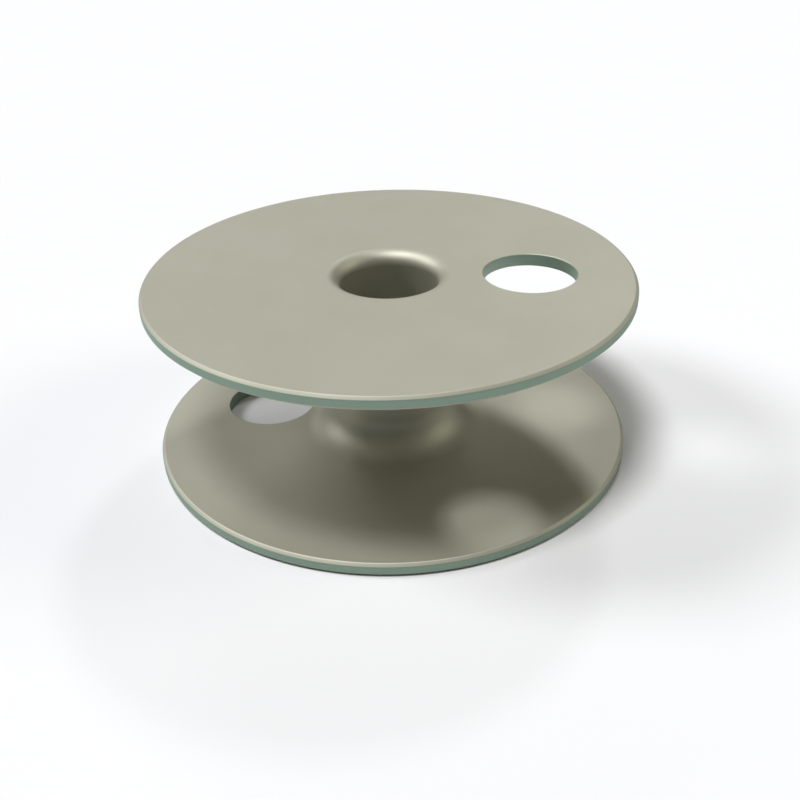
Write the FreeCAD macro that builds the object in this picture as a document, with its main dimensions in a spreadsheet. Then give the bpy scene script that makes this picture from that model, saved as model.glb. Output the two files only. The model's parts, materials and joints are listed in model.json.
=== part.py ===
import FreeCAD, Part
import math
import os

import Sketcher
from FreeCAD import Placement, Rotation, Vector

# Sewing machine bobbin: one turned metal spool with two flat flanges, a hub that
# flares into them, a bore with trumpet mouths and a thread hole in each flange.
# The spool is drawn about its own mid plane and then stood on its lower flange.

NODE = "bobbin"

# Driving dimensions: alias, value and meaning, in millimetres and degrees
DIMENSIONS = (
    ("flange_diameter", 30.0, "outside diameter of both flanges"),
    ("overall_height", 11.3, "outer face to outer face"),
    ("flange_thickness", 0.8, "each flange, at its flat"),
    ("rim_chamfer", 0.18, "edges of the flange rims"),
    ("spindle_diameter", 6.0, "winder spindle that the bore runs on"),
    ("spindle_clearance", 0.06, "bore over spindle, on the diameter"),
    ("hub_wall", 0.5, "hub tube, between its flares"),
    ("hub_flare_radius", 2.05, "flare of the hub into each flange"),
    ("mouth_radius", 0.9, "rounding of each outer face into the bore"),
    ("thread_hole_diameter", 5.7, "hole in each flange"),
    ("thread_hole_offset", 8.6, "spool axis to hole centre"),
    ("thread_hole_chamfer", 0.08, "edges of the holes"),
    ("upper_hole_angle", -4.0, "about the axis, from the X axis"),
    ("lower_hole_angle", 162.0, "about the axis, from the X axis"),
)

# Sizes that follow from the driving ones, as expressions on the sheet
HALF_HEIGHT = "Dimensions.overall_height / 2"
BORE_RADIUS = "(Dimensions.spindle_diameter + Dimensions.spindle_clearance) / 2"
HUB_RADIUS = f"{BORE_RADIUS} + Dimensions.hub_wall"

ORIGIN = -1
START, END, CENTRE = 1, 2, 3
UP = Vector(0, 0, 1)
QUARTER = math.pi / 2
FULL_TURN = 360.0
NEAR = 1e-6


def add_sheet(doc):
    """Write the driving dimensions into a sheet, one row and one alias each."""
    sheet = doc.addObject("Spreadsheet::Sheet", "Dimensions")
    for row, (alias, value, meaning) in enumerate(DIMENSIONS, start=1):
        sheet.set(f"A{row}", alias)
        sheet.set(f"B{row}", str(value))
        sheet.set(f"C{row}", meaning)
        sheet.setAlias(f"B{row}", alias)
    doc.recompute()
    return sheet


def origin_plane(body, role):
    """Find one of the body's own origin planes by its role."""
    return next(plane for plane in body.Origin.OriginFeatures if plane.Role == role)


def add_sketch(body, name, role):
    """Start a sketch on one of the body's origin planes."""
    sketch = body.newObject("Sketcher::SketchObject", name)
    sketch.AttachmentSupport = [(origin_plane(body, role), "")]
    sketch.MapMode = "FlatFace"
    return sketch


def bind(sketch, name, constraint, expression):
    """Add a named constraint whose value follows an expression on the sheet."""
    sketch.renameConstraint(sketch.addConstraint(constraint), name)
    sketch.setExpression(f"Constraints.{name}", expression)


def line(x1, y1, x2, y2):
    """Straight run of the section."""
    return Part.LineSegment(Vector(x1, y1, 0), Vector(x2, y2, 0))


def arc(x, y, radius, first, last):
    """Round run of the section, anticlockwise from the first angle to the last."""
    return Part.ArcOfCircle(Part.Circle(Vector(x, y, 0), UP, radius), first, last)


def draw_half_section(body, sheet):
    """Draw the section above the mid plane, as radius across and height up."""
    half = sheet.overall_height / 2
    inner = half - sheet.flange_thickness
    rim = sheet.flange_diameter / 2
    bore = (sheet.spindle_diameter + sheet.spindle_clearance) / 2
    hub = bore + sheet.hub_wall
    flare = sheet.hub_flare_radius
    mouth = sheet.mouth_radius

    sketch = add_sketch(body, "half_section", "XZ_Plane")
    mid = sketch.addGeometry(line(bore, 0, hub, 0))
    hub_wall = sketch.addGeometry(line(hub, 0, hub, inner - flare))
    hub_flare = sketch.addGeometry(arc(hub + flare, inner - flare, flare, QUARTER, 2 * QUARTER))
    inner_face = sketch.addGeometry(line(hub + flare, inner, rim, inner))
    rim_face = sketch.addGeometry(line(rim, inner, rim, half))
    outer_face = sketch.addGeometry(line(rim, half, bore + mouth, half))
    trumpet_mouth = sketch.addGeometry(arc(bore + mouth, half - mouth, mouth, QUARTER, 2 * QUARTER))
    bore_wall = sketch.addGeometry(line(bore, half - mouth, bore, 0))

    # Runs joined in order round the section, smooth wherever an arc meets a run
    sketch.addConstraint([
        Sketcher.Constraint("PointOnObject", mid, START, ORIGIN),
        Sketcher.Constraint("Horizontal", mid),
        Sketcher.Constraint("Coincident", mid, END, hub_wall, START),
        Sketcher.Constraint("Vertical", hub_wall),
        Sketcher.Constraint("Tangent", hub_wall, END, hub_flare, END),
        Sketcher.Constraint("Tangent", hub_flare, START, inner_face, START),
        Sketcher.Constraint("Horizontal", inner_face),
        Sketcher.Constraint("Coincident", inner_face, END, rim_face, START),
        Sketcher.Constraint("Vertical", rim_face),
        Sketcher.Constraint("Coincident", rim_face, END, outer_face, START),
        Sketcher.Constraint("Horizontal", outer_face),
        Sketcher.Constraint("Tangent", outer_face, END, trumpet_mouth, START),
        Sketcher.Constraint("Tangent", trumpet_mouth, END, bore_wall, START),
        Sketcher.Constraint("Vertical", bore_wall),
        Sketcher.Constraint("Coincident", bore_wall, END, mid, START),
    ])

    # Radii and distances that the sheet drives
    across = "DistanceX"
    up = "DistanceY"
    bind(sketch, "bore_radius",
         Sketcher.Constraint(across, ORIGIN, START, bore_wall, END, bore), BORE_RADIUS)
    bind(sketch, "hub_radius",
         Sketcher.Constraint(across, ORIGIN, START, hub_wall, START, hub), HUB_RADIUS)
    bind(sketch, "rim_radius",
         Sketcher.Constraint(across, ORIGIN, START, rim_face, START, rim), "Dimensions.flange_diameter / 2")
    bind(sketch, "half_height",
         Sketcher.Constraint(up, ORIGIN, START, outer_face, START, half), HALF_HEIGHT)
    bind(sketch, "flange_thickness",
         Sketcher.Constraint(up, inner_face, END, outer_face, START, sheet.flange_thickness),
         "Dimensions.flange_thickness")
    bind(sketch, "hub_flare",
         Sketcher.Constraint("Radius", hub_flare, flare), "Dimensions.hub_flare_radius")
    bind(sketch, "trumpet_mouth",
         Sketcher.Constraint("Radius", trumpet_mouth, mouth), "Dimensions.mouth_radius")
    return sketch


def turn_spool(body, sheet):
    """Turn the half section about the axis and mirror it through the mid plane."""
    section = draw_half_section(body, sheet)
    half_spool = body.newObject("PartDesign::Revolution", "half_spool")
    half_spool.Profile = section
    half_spool.ReferenceAxis = (section, ["V_Axis"])
    half_spool.Angle = FULL_TURN
    body.Document.recompute()

    spool = body.newObject("PartDesign::Mirrored", "spool")
    spool.Originals = [half_spool]
    spool.MirrorPlane = (origin_plane(body, "XY_Plane"), [""])
    body.Tip = spool
    body.Document.recompute()


def cut_thread_hole(body, sheet, name, face_height, angle_alias, upwards):
    """Cut one thread hole from an outer face through its flange to the mid plane."""
    volume_before = body.Shape.Volume
    sketch = add_sketch(body, f"{name}_circle", "XY_Plane")
    sketch.AttachmentOffset = Placement(Vector(), Rotation(UP, getattr(sheet, angle_alias)))
    sketch.setExpression("AttachmentOffset.Base.z", face_height)
    sketch.setExpression("AttachmentOffset.Rotation.Angle", f"Dimensions.{angle_alias}")
    offset = sheet.thread_hole_offset
    diameter = sheet.thread_hole_diameter
    circle = sketch.addGeometry(Part.Circle(Vector(offset, 0, 0), UP, diameter / 2))
    sketch.addConstraint(Sketcher.Constraint("PointOnObject", circle, CENTRE, ORIGIN))
    bind(sketch, "offset",
         Sketcher.Constraint("DistanceX", ORIGIN, START, circle, CENTRE, offset),
         "Dimensions.thread_hole_offset")
    bind(sketch, "diameter",
         Sketcher.Constraint("Diameter", circle, diameter), "Dimensions.thread_hole_diameter")

    hole = body.newObject("PartDesign::Pocket", name)
    hole.Profile = sketch
    hole.Type = "Length"
    hole.setExpression("Length", HALF_HEIGHT)
    hole.Reversed = upwards
    body.Document.recompute()
    if body.Shape.Volume >= volume_before:
        raise RuntimeError(f"{name} cuts nothing")


def wall_edges(shape, radius, from_axis):
    """Name the closed edges of the upright round walls of one radius, at one distance from the axis."""
    edges = []
    for face in shape.Faces:
        wall = face.Surface
        if not isinstance(wall, Part.Cylinder):
            continue
        distance = math.hypot(wall.Center.x, wall.Center.y)
        if math.isclose(wall.Radius, radius) and math.isclose(distance, from_axis, abs_tol=NEAR):
            edges += [edge for edge in face.Edges if edge.isClosed()]
    return [
        f"Edge{number}"
        for number, edge in enumerate(shape.Edges, start=1)
        if any(edge.isSame(found) for found in edges)
    ]


def break_edges(body, name, radius, from_axis, size):
    """Chamfer the edges of some round walls, so that thread runs over them unharmed."""
    base = body.Tip
    edges = wall_edges(base.Shape, radius, from_axis)
    chamfer = body.newObject("PartDesign::Chamfer", name)
    chamfer.Base = (base, edges)
    chamfer.setExpression("Size", size)
    body.Document.recompute()


def check(doc, body):
    """Stop if anything in the document failed or the spool isn't one sound solid."""
    for item in doc.Objects:
        if "Invalid" in item.State or "Error" in item.State:
            raise RuntimeError(f"{item.Label} failed: {item.State}")
    shape = body.Shape
    if shape.isNull() or not shape.isValid() or len(shape.Solids) != 1:
        raise RuntimeError(f"{body.Label} is not one sound solid")


def main():
    """Build the bobbin and write its solid."""
    doc = FreeCAD.newDocument("sewing_machine_bobbin")
    sheet = add_sheet(doc)
    body = doc.addObject("PartDesign::Body", NODE)
    body.Label = NODE
    turn_spool(body, sheet)
    cut_thread_hole(body, sheet, "upper_thread_hole", HALF_HEIGHT, "upper_hole_angle", upwards=False)
    cut_thread_hole(body, sheet, "lower_thread_hole", f"-({HALF_HEIGHT})", "lower_hole_angle", upwards=True)
    break_edges(body, "rim_chamfers", sheet.flange_diameter / 2, 0, "Dimensions.rim_chamfer")
    break_edges(body, "thread_hole_chamfers", sheet.thread_hole_diameter / 2, sheet.thread_hole_offset,
                "Dimensions.thread_hole_chamfer")
    body.setExpression("Placement.Base.z", HALF_HEIGHT)
    doc.recompute()
    check(doc, body)
    os.makedirs("parts", exist_ok=True)
    body.Shape.exportStep(f"parts/{body.Label}.step")


main()
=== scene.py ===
"""Looks of a sewing machine bobbin: one spool of satin metal, standing on a pale floor."""

import json
import logging
import math
from dataclasses import dataclass
from enum import Enum

import bpy
from mathutils import Euler, Matrix, Vector


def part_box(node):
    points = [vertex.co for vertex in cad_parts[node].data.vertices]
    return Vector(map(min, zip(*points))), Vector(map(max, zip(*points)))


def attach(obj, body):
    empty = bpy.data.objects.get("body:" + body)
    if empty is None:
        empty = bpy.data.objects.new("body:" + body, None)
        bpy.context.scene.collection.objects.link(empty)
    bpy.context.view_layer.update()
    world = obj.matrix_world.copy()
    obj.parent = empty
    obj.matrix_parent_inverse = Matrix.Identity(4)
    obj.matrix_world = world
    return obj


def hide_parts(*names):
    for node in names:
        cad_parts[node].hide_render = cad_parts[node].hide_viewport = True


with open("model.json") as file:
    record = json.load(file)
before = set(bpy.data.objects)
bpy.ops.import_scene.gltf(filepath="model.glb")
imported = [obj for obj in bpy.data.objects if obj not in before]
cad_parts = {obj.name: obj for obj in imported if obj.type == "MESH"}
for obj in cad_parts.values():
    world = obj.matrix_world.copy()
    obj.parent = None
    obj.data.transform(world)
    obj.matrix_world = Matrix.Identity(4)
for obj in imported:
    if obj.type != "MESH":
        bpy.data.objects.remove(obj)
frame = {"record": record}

log = logging.getLogger("bobbin")

MM = 0.001
QUARTER_TURN = math.pi / 2
EIGHTH_TURN = math.pi / 4
# Corners of the small ring that is merged into the first point of a section
SEED_CORNERS = 3
# What a place keeps when its height is dropped
LEVEL_PART = (1.0, 1.0, 0.0)
# Upright part of a normal above which a facet counts as part of a flat face
LEVEL = 0.99999
# Distance below which two points of a mesh are one
MERGE = 0.001 * MM

Colour = tuple[float, float, float]
# What goes into an input of a node: a link or a value
Feed = bpy.types.NodeSocket | float | tuple[float, ...]


class Flange(Enum):
    """The two flanges, each by the mount that gives the place of its thread hole."""

    LOWER = "lower_thread_hole"
    UPPER = "upper_thread_hole"


def mount(name: str) -> dict:
    """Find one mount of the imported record.

    Args:
        name: The mount's name.

    Returns:
        The mount, with its place in metres and its sizes in millimetres.
    """
    return next(entry for entry in frame["record"]["mounts"] if entry["name"] == name)


def shift_mesh(step: Vector) -> None:
    """Move all points of the active mesh, while its object stays at the origin.

    Args:
        step: How far the points move.
    """
    bpy.ops.object.mode_set(mode="EDIT")
    bpy.ops.mesh.select_all(action="SELECT")
    bpy.ops.transform.translate(value=step)
    bpy.ops.object.mode_set(mode="OBJECT")


@dataclass(frozen=True)
class ThreadHole:
    """Place and size of the thread hole in one flange."""

    centre: Vector
    radius: float
    upper: bool

    @classmethod
    def of(cls, flange: Flange) -> "ThreadHole":
        """Take the hole of one flange from its mount.

        Args:
            flange: The flange that the hole goes through.

        Returns:
            The hole, in metres.
        """
        hole = mount(flange.value)
        return cls(Vector(hole["pos_m"]), hole["dims"]["r_mm"] * MM, flange is Flange.UPPER)


class Outline:
    """A section drawn with one point in the XZ plane, and then swept about the Z axis."""

    def __init__(self, name: str, across: float, up: float) -> None:
        """Put the point down at the start of the section.

        Args:
            name: Name of the object that the section grows into.
            across: Distance of the start from the axis.
            up: Height of the start.
        """
        bpy.ops.object.select_all(action="DESELECT")
        bpy.ops.mesh.primitive_circle_add(vertices=SEED_CORNERS, radius=MM, enter_editmode=True)
        bpy.ops.mesh.merge(type="CENTER")
        bpy.ops.transform.translate(value=(across, 0.0, up))
        self.piece = bpy.context.object
        self.piece.name = name
        self.across = across
        self.up = up

    def run_to(self, across: float, up: float) -> None:
        """Extrude a straight run to a new place.

        Args:
            across: Distance of the run's end from the axis.
            up: Height of the run's end.
        """
        step = (across - self.across, 0.0, up - self.up)
        bpy.ops.mesh.extrude_region_move(TRANSFORM_OT_translate={"value": step})
        self.across = across
        self.up = up

    def bend(self, across: float, up: float, angle: float, steps: int) -> None:
        """Spin a round run about a centre, anticlockwise where the angle is positive.

        Args:
            across: Distance of the centre from the axis.
            up: Height of the centre.
            angle: Angle that the run turns through.
            steps: Straight facets in the run.
        """
        bpy.ops.mesh.spin(steps=steps, angle=angle, center=(across, 0.0, up), axis=(0.0, 1.0, 0.0))
        arm = Vector((self.across - across, self.up - up))
        arm.rotate(Matrix.Rotation(angle, 2))
        self.across = across + arm.x
        self.up = up + arm.y

    def corner(self, across: float, up: float, angle: float, radius: float, steps: int) -> None:
        """Run towards a corner and round it off, anticlockwise.

        Args:
            across: Distance of the sharp corner from the axis.
            up: Height of the sharp corner.
            angle: Angle that the section turns through at the corner.
            radius: Radius of the rounding.
            steps: Straight facets in the rounding.
        """
        ahead = Vector((across - self.across, up - self.up)).normalized()
        start = Vector((across, up)) - ahead * radius * math.tan(angle / 2)
        centre = start + Vector((-ahead.y, ahead.x)) * radius
        self.run_to(start.x, start.y)
        self.bend(centre.x, centre.y, angle, steps)

    def sweep(self, steps: int) -> bpy.types.Object:
        """Turn the whole section once round the axis.

        Args:
            steps: Facets round the axis.

        Returns:
            The turned object, in object mode.
        """
        bpy.ops.mesh.select_all(action="SELECT")
        bpy.ops.mesh.spin(steps=steps, angle=math.tau, center=(0.0, 0.0, 0.0), axis=(0.0, 0.0, 1.0))
        bpy.ops.mesh.select_all(action="SELECT")
        bpy.ops.mesh.remove_doubles(threshold=MERGE)
        bpy.ops.mesh.normals_make_consistent(inside=False)
        bpy.ops.object.mode_set(mode="OBJECT")
        return self.piece


class Graph:
    """Node tree of one material or of the world, with short ways to add nodes."""

    def __init__(self, tree: bpy.types.NodeTree) -> None:
        """Start from an empty tree."""
        self.tree = tree
        self.tree.nodes.clear()

    def put(self, socket: bpy.types.NodeSocket, feed: Feed) -> None:
        """Link a feed to an input, or set the input to its value."""
        if isinstance(feed, bpy.types.NodeSocket):
            self.tree.links.new(feed, socket)
        else:
            socket.default_value = feed

    def add(self, kind: str, feeds: dict[int | str, Feed] | None = None,
            **settings: object) -> bpy.types.Node:
        """Add a node, set it and feed it.

        Args:
            kind: Blender's name of the node type.
            feeds: Links or values for the node's inputs, by name or number.
            **settings: Attributes of the node.

        Returns:
            The new node.
        """
        node = self.tree.nodes.new(kind)
        for name, value in settings.items():
            setattr(node, name, value)
        for key, feed in (feeds or {}).items():
            self.put(node.inputs[key], feed)
        return node

    def math(self, operation: str, *feeds: Feed) -> bpy.types.NodeSocket:
        """Work out one number from others."""
        return self.add("ShaderNodeMath", dict(enumerate(feeds)), operation=operation).outputs[0]

    def vector(self, operation: str, *feeds: Feed) -> bpy.types.Node:
        """Work out a vector, or a number, from vectors."""
        return self.add("ShaderNodeVectorMath", dict(enumerate(feeds)), operation=operation)

    def fade(self, value: Feed, start: float, end: float,
             low: float = 0.0, high: float = 1.0) -> bpy.types.NodeSocket:
        """Ease a number from one level to another as a value passes between two marks.

        Args:
            value: The value that is watched.
            start: Mark at which the low level ends.
            end: Mark at which the high level begins.
            low: Level before the start.
            high: Level past the end.

        Returns:
            The eased level.
        """
        feeds = {"Value": value, "From Min": start, "From Max": end, "To Min": low, "To Max": high}
        return self.add("ShaderNodeMapRange", feeds, interpolation_type="SMOOTHSTEP").outputs["Result"]

    def blend(self, factor: Feed, first: Feed, second: Feed) -> bpy.types.NodeSocket:
        """Mix two colours."""
        node = self.add("ShaderNodeMix", data_type="RGBA")
        sockets = {"Factor": factor, "A": first, "B": second}
        for socket in node.inputs:
            if socket.enabled and socket.name in sockets:
                self.put(socket, sockets[socket.name])
        return next(socket for socket in node.outputs if socket.enabled)

    def noise(self, vector: Feed, grain: float, detail: float) -> bpy.types.NodeSocket:
        """Cloudy noise whose grains have one size.

        Args:
            vector: Coordinates, in metres.
            grain: Size of the grains, in metres.
            detail: Octaves of finer grain.

        Returns:
            Noise about the middle of the range from 0 to 1.
        """
        feeds = {"Vector": vector, "Scale": 1.0 / grain, "Detail": detail}
        return self.add("ShaderNodeTexNoise", feeds).outputs["Fac"]


def opaque(colour: Colour) -> tuple[float, float, float, float]:
    """Give a colour its full alpha."""
    return (*colour, 1.0)


@dataclass(frozen=True)
class SatinMetal:
    """Satin finish of the spool, duller on its cut edges, with a cooler tone painted on its rim bands and
    hole walls as a reflection of green surroundings.
    """

    face_colour: Colour = (0.466, 0.460, 0.388)
    cloud_colour: Colour = (0.451, 0.447, 0.374)
    # Painted reflection: the cooler, darker tone of the rim bands and hole walls stands for green
    # surroundings mirrored in them
    painted_edge_reflection: Colour = (0.302, 0.397, 0.327)
    roughness: float = 0.60
    roughness_spread: float = 0.012
    edge_roughness: float = 0.69
    cloud_size: float = 5.0 * MM
    cloud_detail: float = 3.0
    cloud_marks: tuple[float, float] = (0.3, 0.7)
    grain_size: float = 0.14 * MM
    grain_detail: float = 2.0
    grain_height: float = 0.0006 * MM
    # Fades of the painted reflection on the rim bands and on the hole walls
    rim_fade: tuple[float, float] = (-0.05 * MM, -0.008 * MM)
    dull_fade: tuple[float, float] = (-0.22 * MM, -0.14 * MM)
    wall_fade: tuple[float, float] = (0.03 * MM, 0.002 * MM)

    def material(self, rim_radius: float, mid_height: float,
                 holes: list[ThreadHole]) -> bpy.types.Material:
        """Make the material of the spool.

        Args:
            rim_radius: Radius of the flanges.
            mid_height: Height of the plane half way between the flanges.
            holes: The thread holes of both flanges.

        Returns:
            The finished material.
        """
        material = bpy.data.materials.new("satin_metal")
        material.use_nodes = True
        graph = Graph(material.node_tree)
        place = graph.add("ShaderNodeTexCoord").outputs["Object"]
        clouds = graph.noise(place, self.cloud_size, self.cloud_detail)
        grain = graph.noise(place, self.grain_size, self.grain_detail)
        flat = graph.vector("MULTIPLY", place, LEVEL_PART).outputs["Vector"]
        height = graph.add("ShaderNodeSeparateXYZ", {0: place}).outputs["Z"]
        radius = graph.vector("LENGTH", flat).outputs["Value"]
        # Rim bands and hole walls, where the reflection is painted
        rims = graph.fade(radius, *(rim_radius + mark for mark in self.rim_fade))
        walls = self.wall_mask(graph, flat, graph.math("SUBTRACT", height, mid_height), holes)
        edges = graph.math("MAXIMUM", rims, walls)
        worn = graph.fade(radius, *(rim_radius + mark for mark in self.dull_fade))

        mottle = graph.fade(clouds, *self.cloud_marks)
        faces = graph.blend(mottle, opaque(self.face_colour), opaque(self.cloud_colour))
        # Painted reflection of green surroundings on the rim bands and hole walls
        colour = graph.blend(edges, faces, opaque(self.painted_edge_reflection))
        low = self.roughness - self.roughness_spread
        high = self.roughness + self.roughness_spread
        satin = graph.fade(clouds, *self.cloud_marks, low, high)
        dull = graph.math("MULTIPLY_ADD", worn, self.edge_roughness - self.roughness, satin)
        bump = graph.add("ShaderNodeBump", {"Height": grain, "Strength": 1.0, "Distance": self.grain_height})
        shader = graph.add("ShaderNodeBsdfPrincipled", {
            "Base Color": colour,
            "Metallic": 1.0,
            "Roughness": dull,
            "Normal": bump.outputs["Normal"],
        })
        graph.add("ShaderNodeOutputMaterial", {"Surface": shader.outputs["BSDF"]})
        return material

    def wall_mask(self, graph: Graph, flat: Feed, above_middle: Feed,
                  holes: list[ThreadHole]) -> bpy.types.NodeSocket:
        """Find the walls of the thread holes, which carry the painted reflection.

        Args:
            graph: Node tree of the material.
            flat: Object coordinates without their height.
            above_middle: Height above the plane half way between the flanges.
            holes: The thread holes of both flanges.

        Returns:
            One on the walls and nought elsewhere.
        """
        masks = []
        for hole in holes:
            axis = (hole.centre.x, hole.centre.y, 0.0)
            distance = graph.vector("DISTANCE", flat, axis).outputs["Value"]
            wall = graph.fade(distance, *(hole.radius + mark for mark in self.wall_fade))
            side = graph.math("GREATER_THAN" if hole.upper else "LESS_THAN", above_middle, 0.0)
            masks.append(graph.math("MULTIPLY", wall, side))
        return graph.math("MAXIMUM", *masks)


@dataclass
class Bobbin:
    """The spool, turned as one piece, with a thread hole through each flange."""

    height: float
    flange_radius: float
    bore_radius: float
    flange_thickness: float
    mouth_round: float
    rim_chamfer: float = 0.18 * MM
    rim_round: float = 0.12 * MM
    hub_wall: float = 0.5 * MM
    hub_flare: float = 2.05 * MM
    hole_edge: float = 0.08 * MM
    cutter_turn: float = math.radians(75.0)
    cutter_reach: float = 0.3 * MM
    facets: int = 360
    hole_facets: int = 128
    round_steps: int = 20
    edge_steps: int = 8

    @classmethod
    def from_frame(cls) -> "Bobbin":
        """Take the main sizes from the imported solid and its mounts.

        Returns:
            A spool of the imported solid's size.
        """
        lowest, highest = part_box("bobbin")
        height = highest.z - lowest.z
        bore = mount("spindle_bore")["dims"]
        return cls(
            height=height,
            flange_radius=(highest.x - lowest.x) / 2,
            bore_radius=bore["r_mm"] * MM,
            flange_thickness=2 * mount(Flange.LOWER.value)["pos_m"][2],
            mouth_round=(height - bore["length_mm"] * MM) / 2,
        )

    def build(self) -> bpy.types.Object:
        """Model the spool.

        Returns:
            The spool's object, at the origin and standing on the floor.
        """
        piece = self.turn_half()
        self.mirror(piece)
        for flange in Flange:
            self.cut_thread_hole(piece, flange)
        self.smooth(piece)
        return piece

    def turn_half(self) -> bpy.types.Object:
        """Draw the section above the mid plane and turn it.

        Returns:
            The upper half of the spool, with its mid plane at the origin.
        """
        half = self.height / 2
        inner = half - self.flange_thickness
        hub = self.bore_radius + self.hub_wall
        flare = self.hub_flare
        rim = self.flange_radius
        mouth = self.mouth_round

        outline = Outline("bobbin_spool", hub, 0.0)
        outline.run_to(hub, inner - flare)
        outline.bend(hub + flare, inner - flare, -QUARTER_TURN, self.round_steps)
        outline.corner(rim - self.rim_chamfer, inner, EIGHTH_TURN, self.rim_round, self.edge_steps)
        outline.corner(rim, inner + self.rim_chamfer, EIGHTH_TURN, self.rim_round, self.edge_steps)
        outline.corner(rim, half - self.rim_chamfer, EIGHTH_TURN, self.rim_round, self.edge_steps)
        outline.corner(rim - self.rim_chamfer, half, EIGHTH_TURN, self.rim_round, self.edge_steps)
        outline.run_to(self.bore_radius + mouth, half)
        outline.bend(self.bore_radius + mouth, half - mouth, QUARTER_TURN, self.round_steps)
        outline.run_to(self.bore_radius, 0.0)
        return outline.sweep(self.facets)

    def mirror(self, piece: bpy.types.Object) -> None:
        """Add the lower half and stand the spool on the floor.

        Args:
            piece: The upper half of the spool.
        """
        mirror = piece.modifiers.new("lower_half", "MIRROR")
        mirror.use_axis = (False, False, True)
        mirror.merge_threshold = MERGE
        bpy.ops.object.modifier_apply(modifier=mirror.name)
        shift_mesh(Vector((0.0, 0.0, self.height / 2)))

    def cut_thread_hole(self, piece: bpy.types.Object, flange: Flange) -> None:
        """Cut the thread hole of one flange, with rounded edges.

        Args:
            piece: The whole spool.
            flange: The flange that is cut.
        """
        hole = ThreadHole.of(flange)
        radius = hole.radius
        edge = self.hole_edge
        face = self.flange_thickness / 2
        turn = self.cutter_turn
        past = self.cutter_reach
        # Past its roundings the cutter spreads at a steeper slope, so that it leaves the faces cleanly
        outward = past / math.tan(turn - EIGHTH_TURN)
        round_start = edge * (1 - math.cos(turn))
        round_end = edge * (1 - math.sin(turn))

        cutter = Outline("thread_hole_cutter", 0.0, -face - past)
        cutter.run_to(radius + edge + outward, -face - past)
        cutter.run_to(radius + round_start, -face + round_end)
        cutter.bend(radius + edge, -face + edge, -turn, self.edge_steps)
        cutter.run_to(radius, face - edge)
        cutter.bend(radius + edge, face - edge, -turn, self.edge_steps)
        cutter.run_to(radius + edge + outward, face + past)
        cutter.run_to(0.0, face + past)
        tool = cutter.sweep(self.hole_facets)
        shift_mesh(hole.centre)

        bpy.ops.object.select_all(action="DESELECT")
        bpy.context.view_layer.objects.active = piece
        piece.select_set(True)
        cut = piece.modifiers.new("thread_hole", "BOOLEAN")
        cut.operation = "DIFFERENCE"
        cut.solver = "EXACT"
        cut.object = tool
        bpy.ops.object.modifier_apply(modifier=cut.name)
        bpy.data.meshes.remove(tool.data)
        bpy.ops.object.mode_set(mode="EDIT")
        bpy.ops.mesh.select_all(action="SELECT")
        bpy.ops.mesh.remove_doubles(threshold=MERGE)
        bpy.ops.object.mode_set(mode="OBJECT")

    def smooth(self, piece: bpy.types.Object) -> None:
        """Shade the spool smooth, with its flat faces kept flat.

        Args:
            piece: The finished spool.
        """
        bpy.ops.object.shade_smooth()
        bpy.ops.object.mode_set(mode="EDIT")
        bpy.ops.mesh.select_mode(type="FACE")
        bpy.ops.mesh.select_all(action="DESELECT")
        bpy.ops.object.mode_set(mode="OBJECT")
        for polygon in piece.data.polygons:
            polygon.select = abs(polygon.normal.z) > LEVEL
        bpy.ops.object.mode_set(mode="EDIT")
        bpy.ops.mesh.faces_shade_flat()
        bpy.ops.object.mode_set(mode="OBJECT")

    def dress(self, piece: bpy.types.Object, finish: SatinMetal) -> None:
        """Give the spool its finish.

        Args:
            piece: The finished spool.
            finish: Its satin finish.
        """
        holes = [ThreadHole.of(flange) for flange in Flange]
        piece.data.materials.clear()
        piece.data.materials.append(finish.material(self.flange_radius, self.height / 2, holes))


@dataclass(frozen=True)
class PaleFloor:
    """The plain floor that the spool stands on."""

    colour: Colour = (0.742, 0.746, 0.770)
    width: float = 3.0
    drop: float = 0.01 * MM

    def build(self) -> bpy.types.Object:
        """Lay the floor.

        Returns:
            The floor's object.
        """
        bpy.ops.object.select_all(action="DESELECT")
        bpy.ops.mesh.primitive_plane_add(size=self.width, location=(0.0, 0.0, -self.drop))
        floor = bpy.context.object
        floor.name = "pale_floor"
        material = bpy.data.materials.new("pale_floor")
        material.use_nodes = True
        graph = Graph(material.node_tree)
        shader = graph.add("ShaderNodeBsdfDiffuse", {"Color": opaque(self.colour)})
        graph.add("ShaderNodeOutputMaterial", {"Surface": shader.outputs["BSDF"]})
        floor.data.materials.append(material)
        return floor


@dataclass(frozen=True)
class Lamp:
    """One soft lamp, far enough away to light the whole scene alike.

    The bearing is counted clockwise, as seen from above, from straight behind the spool.
    """

    name: str
    bearing: float
    elevation: float
    spread: float
    strength: float
    colour: Colour = (1.0, 1.0, 1.0)

    def build(self) -> bpy.types.Object:
        """Hang the lamp.

        Returns:
            The lamp's object.
        """
        light = bpy.data.lights.new(self.name, "SUN")
        light.color = self.colour
        light.energy = self.strength
        light.angle = math.radians(self.spread)
        lamp = bpy.data.objects.new(self.name, light)
        tilt = QUARTER_TURN - math.radians(self.elevation)
        lamp.rotation_euler = Euler((-tilt, 0.0, -math.radians(self.bearing)))
        bpy.context.scene.collection.objects.link(lamp)
        return lamp


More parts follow.
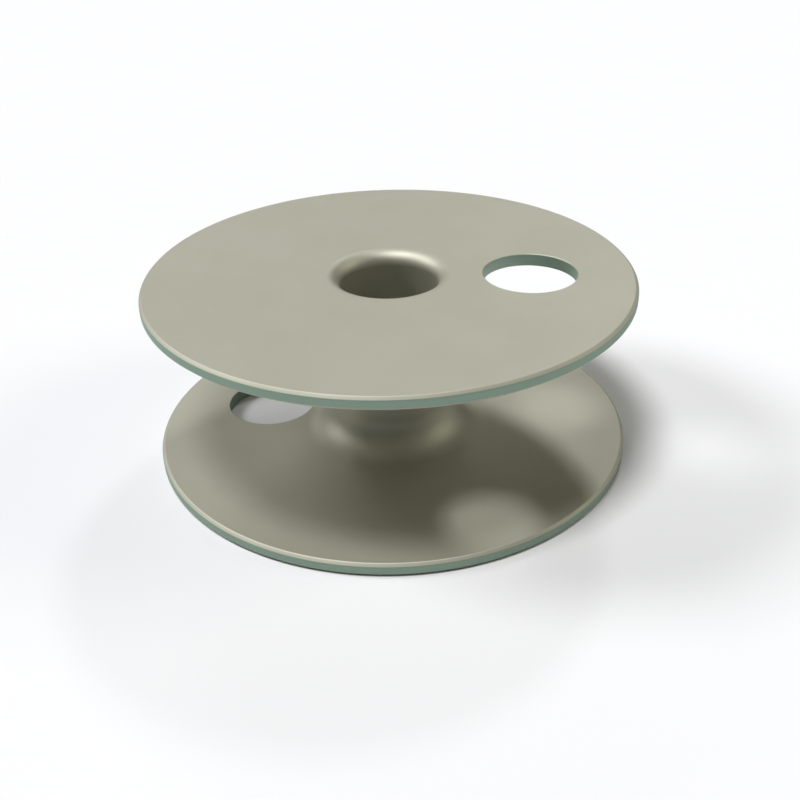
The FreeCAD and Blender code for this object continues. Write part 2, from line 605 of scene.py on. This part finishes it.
@dataclass(frozen=True)
class StudioLight:
    """A lamp high up at the left front, broad ones at both sides, two weak ones behind, and a dim room."""

    lamps: tuple[Lamp, ...] = (
        Lamp("key_lamp", bearing=232.0, elevation=74.0, spread=16.5, strength=2.33),
        Lamp("left_lamp", bearing=284.0, elevation=40.0, spread=20.0, strength=1.48),
        Lamp("right_lamp", bearing=84.0, elevation=34.0, spread=28.0, strength=0.68,
             colour=(1.0, 0.95, 0.80)),
        Lamp("rear_lamp", bearing=16.0, elevation=41.5, spread=7.0, strength=0.46),
        Lamp("back_lamp", bearing=346.0, elevation=27.0, spread=16.0, strength=0.21),
    )
    room_colour: Colour = (0.97, 1.0, 0.92)
    room_level: float = 0.07

    def build(self) -> None:
        """Light the scene."""
        scene = bpy.context.scene
        scene.view_settings.view_transform = "Standard"
        world = bpy.data.worlds.new("dim_room")
        world.use_nodes = True
        scene.world = world
        graph = Graph(world.node_tree)
        room = {"Color": opaque(self.room_colour), "Strength": self.room_level}
        glow = graph.add("ShaderNodeBackground", room)
        graph.add("ShaderNodeOutputWorld", {"Surface": glow.outputs["Background"]})
        for lamp in self.lamps:
            lamp.build()


@dataclass(frozen=True)
class PhotoCamera:
    """Camera at the photograph's place, which was fitted to the outlines of the flanges."""

    place: tuple[float, float, float] = (0.0, -59.016 * MM, 37.432 * MM)
    focal_length: float = 47.25
    sensor_width: float = 36.0
    yaw: float = math.radians(0.496)
    pitch: float = math.radians(30.829)
    roll: float = math.radians(-1.341)

    def build(self) -> bpy.types.Object:
        """Set up the camera.

        Returns:
            The camera's object.
        """
        lens = bpy.data.cameras.new("photo_camera")
        lens.lens = self.focal_length
        lens.sensor_width = self.sensor_width
        lens.clip_start = MM
        camera = bpy.data.objects.new("photo_camera", lens)
        level = Euler((QUARTER_TURN - self.pitch, 0.0, -self.yaw)).to_matrix()
        turned = level @ Matrix.Rotation(self.roll, 3, "Z")
        camera.matrix_world = Matrix.Translation(self.place) @ turned.to_4x4()
        bpy.context.scene.collection.objects.link(camera)
        bpy.context.scene.camera = camera
        return camera


def main() -> None:
    """Build the spool, its finish and the studio round it."""
    logging.basicConfig(level=logging.INFO, format="%(message)s")
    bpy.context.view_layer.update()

    bobbin = Bobbin.from_frame()
    spool = bobbin.build()
    bobbin.dress(spool, SatinMetal())
    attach(spool, "root")
    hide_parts("bobbin")
    log.info("spool: %d faces", len(spool.data.polygons))

    floor = PaleFloor().build()
    log.info("floor: %s", floor.name)

    StudioLight().build()
    camera = PhotoCamera().build()
    log.info("camera: %.1f mm", camera.data.lens)


if __name__ == "__main__":
    main()
